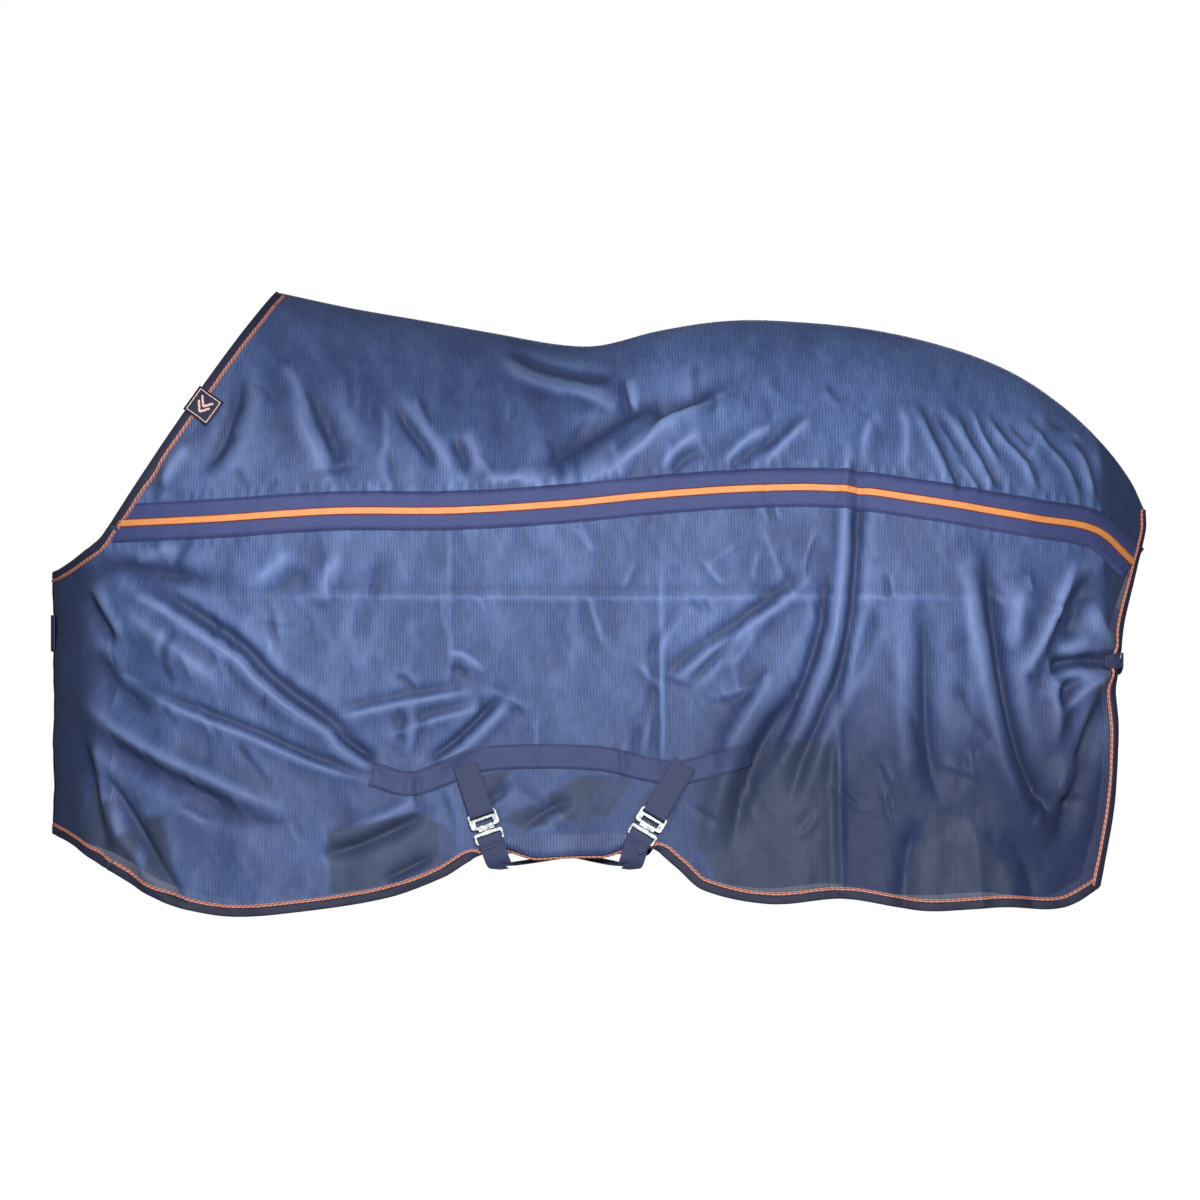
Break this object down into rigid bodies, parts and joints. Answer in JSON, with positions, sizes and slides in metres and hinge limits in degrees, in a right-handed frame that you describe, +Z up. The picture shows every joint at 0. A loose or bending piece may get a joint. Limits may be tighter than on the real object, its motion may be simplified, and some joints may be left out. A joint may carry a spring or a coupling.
{
  "type": "turnout rug",
  "caption": "Sheer mesh horse rug with bound neck, striped side bands, crossed belly surcingles and an opening chest, as hung on a horse.",
  "frame": {"origin": "on the middle plane under the rug's back, where it lies on the horse, midway along its length", "axes": "-X towards the horse's head, +X towards the tail, -Y the near (left) side, +Z up"},
  "size_m": [1.8286, 0.6224, 1.0347],
  "materials": {
    "mesh_cloth": "silky ribbed knit mesh",
    "navy_tape": "woven polyester tape",
    "orange_tape": "woven orange tape and piping",
    "webbing": "navy polyester webbing",
    "touch_tape": "hook and loop tape",
    "plated_steel": "nickel plated pressed steel"
  },
  "bodies": {
    "rug": {"far_band_stripe": "orange_tape", "far_hem_binding": "navy_tape", "far_hem_piping": "orange_tape", "far_lower_panel": "mesh_cloth", "far_neck_binding": "navy_tape", "far_neck_piping": "orange_tape", "far_rear_binding": "navy_tape", "far_rear_piping": "orange_tape", "far_side_band": "navy_tape", "far_surcingle_patch": "webbing", "far_tail_anchor": "webbing", "far_upper_panel": "mesh_cloth", "front_belly_strap": "webbing", "near_band_stripe": "orange_tape", "near_front_slot_plate": "plated_steel", "near_front_tab": "webbing", "near_hem_binding": "navy_tape", "near_hem_piping": "orange_tape", "near_lower_panel": "mesh_cloth", "near_neck_binding": "navy_tape", "near_neck_piping": "orange_tape", "near_rear_binding": "navy_tape", "near_rear_piping": "orange_tape", "near_rear_slot_plate": "plated_steel", "near_rear_tab": "webbing", "near_side_band": "navy_tape", "near_surcingle_patch": "webbing", "near_tail_anchor": "webbing", "near_upper_panel": "mesh_cloth", "neck_label": "navy_tape", "rear_belly_strap": "webbing", "ridge_seam_tape": "navy_tape", "tail_strap": "webbing"},
    "near_front": {"near_chest_front_binding": "navy_tape", "near_chest_hem_binding": "navy_tape", "near_chest_hem_piping": "orange_tape", "near_chest_neck_binding": "navy_tape", "near_chest_neck_piping": "orange_tape", "near_chest_panel": "mesh_cloth"},
    "far_front": {"far_chest_front_binding": "navy_tape", "far_chest_hem_binding": "navy_tape", "far_chest_hem_piping": "orange_tape", "far_chest_neck_binding": "navy_tape", "far_chest_neck_piping": "orange_tape", "far_chest_panel": "mesh_cloth", "touch_loop_patch": "touch_tape"},
    "flap": {"chest_flap": "webbing", "touch_hook_patch": "touch_tape"},
    "front_hook": {"front_t_hook": "plated_steel"},
    "rear_hook": {"rear_t_hook": "plated_steel"},
    "front_slide": {"front_strap_slider": "plated_steel"},
    "rear_slide": {"rear_strap_slider": "plated_steel"}
  },
  "joints": [
    {"name": "near_chest_swing", "type": "hinge", "parent": "rug", "child": "near_front", "pos_m": [-0.80456, -0.20127, -0.6], "axis": [0, 0, 1], "range_deg": [0, 75]},
    {"name": "far_chest_swing", "type": "hinge", "parent": "rug", "child": "far_front", "pos_m": [-0.80456, 0.20127, -0.6], "axis": [0, 0, 1], "range_deg": [-75, 0]},
    {"name": "chest_flap_peel", "type": "hinge", "parent": "near_front", "child": "flap", "pos_m": [-0.90843, -0.04853, -0.4841], "axis": [0, 0, 1], "range_deg": [0, 110]},
    {"name": "front_hook_slide", "type": "slide", "parent": "rug", "child": "front_hook", "axis": [-0.3256, 0, 0.9455], "range_m": [0, 0.0055]},
    {"name": "rear_hook_slide", "type": "slide", "parent": "rug", "child": "rear_hook", "axis": [0.515, 0, 0.8572], "range_m": [0, 0.0055]},
    {"name": "front_strap_adjust", "type": "slide", "parent": "rug", "child": "front_slide", "axis": [0.515, 0, 0.8572], "range_m": [-0.015, 0.015]},
    {"name": "rear_strap_adjust", "type": "slide", "parent": "rug", "child": "rear_slide", "axis": [-0.3256, 0, 0.9455], "range_m": [-0.015, 0.015]}
  ],
  "couplings": [
    {"joint": "far_chest_swing", "follows": "near_chest_swing", "ratio": -1}
  ]
}
